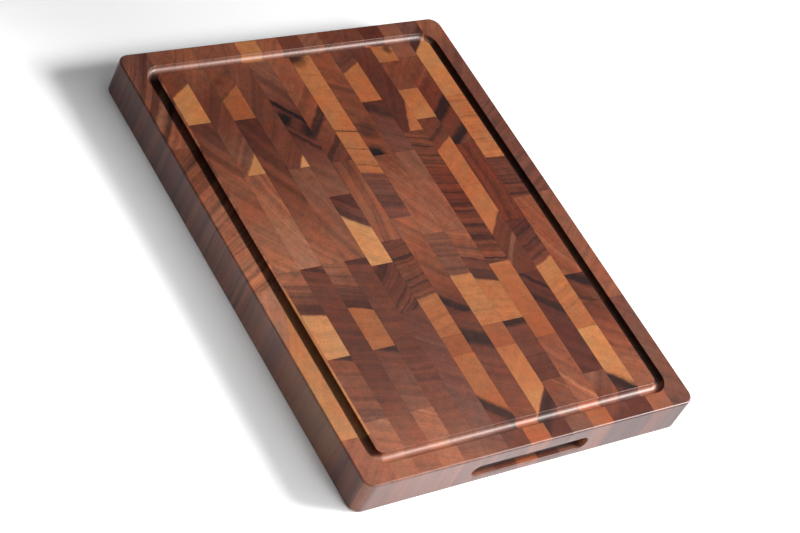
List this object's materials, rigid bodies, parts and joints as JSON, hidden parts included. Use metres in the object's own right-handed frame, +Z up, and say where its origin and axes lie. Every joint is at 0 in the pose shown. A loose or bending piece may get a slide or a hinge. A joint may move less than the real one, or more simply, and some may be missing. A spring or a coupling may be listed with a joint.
{
  "type": "cutting board",
  "caption": "End-grain wooden cutting board of glued upright blocks, with a juice groove round the top and a finger grip in each end.",
  "frame": {"origin": "middle of the flat underside", "axes": "+X along the board's length, +Y across its width, +Z up out of the cutting face"},
  "size_m": [0.508, 0.381, 0.04],
  "materials": {
    "dark_heartwood": "oiled, satin",
    "red_heartwood": "oiled, satin",
    "tan_heartwood": "oiled, satin",
    "sapwood": "oiled, satin"
  },
  "bodies": {
    "root": {"strip_01_block_1": "red_heartwood", "strip_01_block_2": "tan_heartwood", "strip_01_block_3": "red_heartwood", "strip_01_block_4": "dark_heartwood", "strip_02_block_1": "tan_heartwood", "strip_02_block_2": "red_heartwood", "strip_02_block_3": "sapwood", "strip_02_block_4": "tan_heartwood", "strip_02_block_5": "sapwood", "strip_03_block_1": "dark_heartwood", "strip_03_block_2": "tan_heartwood", "strip_03_block_3": "red_heartwood", "strip_04_block_1": "tan_heartwood", "strip_04_block_2": "dark_heartwood", "strip_04_block_3": "sapwood", "strip_04_block_4": "tan_heartwood", "strip_04_block_5": "dark_heartwood", "strip_05_block_1": "dark_heartwood", "strip_05_block_2": "tan_heartwood", "strip_05_block_3": "red_heartwood", "strip_06_block_1": "dark_heartwood", "strip_06_block_2": "dark_heartwood", "strip_06_block_3": "sapwood", "strip_06_block_4": "dark_heartwood", "strip_07_block_1": "sapwood", "strip_07_block_2": "red_heartwood", "strip_07_block_3": "red_heartwood", "strip_08_block_1": "red_heartwood", "strip_08_block_2": "red_heartwood", "strip_08_block_3": "sapwood", "strip_09_block_1": "sapwood", "strip_09_block_2": "sapwood", "strip_09_block_3": "tan_heartwood", "strip_09_block_4": "red_heartwood", "strip_10_block_1": "dark_heartwood", "strip_10_block_2": "dark_heartwood", "strip_10_block_3": "sapwood", "strip_10_block_4": "tan_heartwood", "strip_10_block_5": "dark_heartwood", "strip_10_block_6": "dark_heartwood", "strip_11_block_1": "red_heartwood", "strip_11_block_2": "tan_heartwood", "strip_11_block_3": "dark_heartwood", "strip_11_block_4": "dark_heartwood", "strip_12_block_1": "dark_heartwood", "strip_12_block_2": "dark_heartwood", "strip_12_block_3": "sapwood", "strip_12_block_4": "sapwood", "strip_12_block_5": "red_heartwood", "strip_13_block_1": "sapwood", "strip_13_block_2": "sapwood", "strip_13_block_3": "red_heartwood", "strip_13_block_4": "red_heartwood", "strip_14_block_1": "red_heartwood", "strip_14_block_2": "red_heartwood", "strip_14_block_3": "sapwood", "strip_14_block_4": "sapwood", "strip_15_block_1": "red_heartwood", "strip_15_block_2": "red_heartwood", "strip_15_block_3": "red_heartwood"}
  },
  "joints": []
}
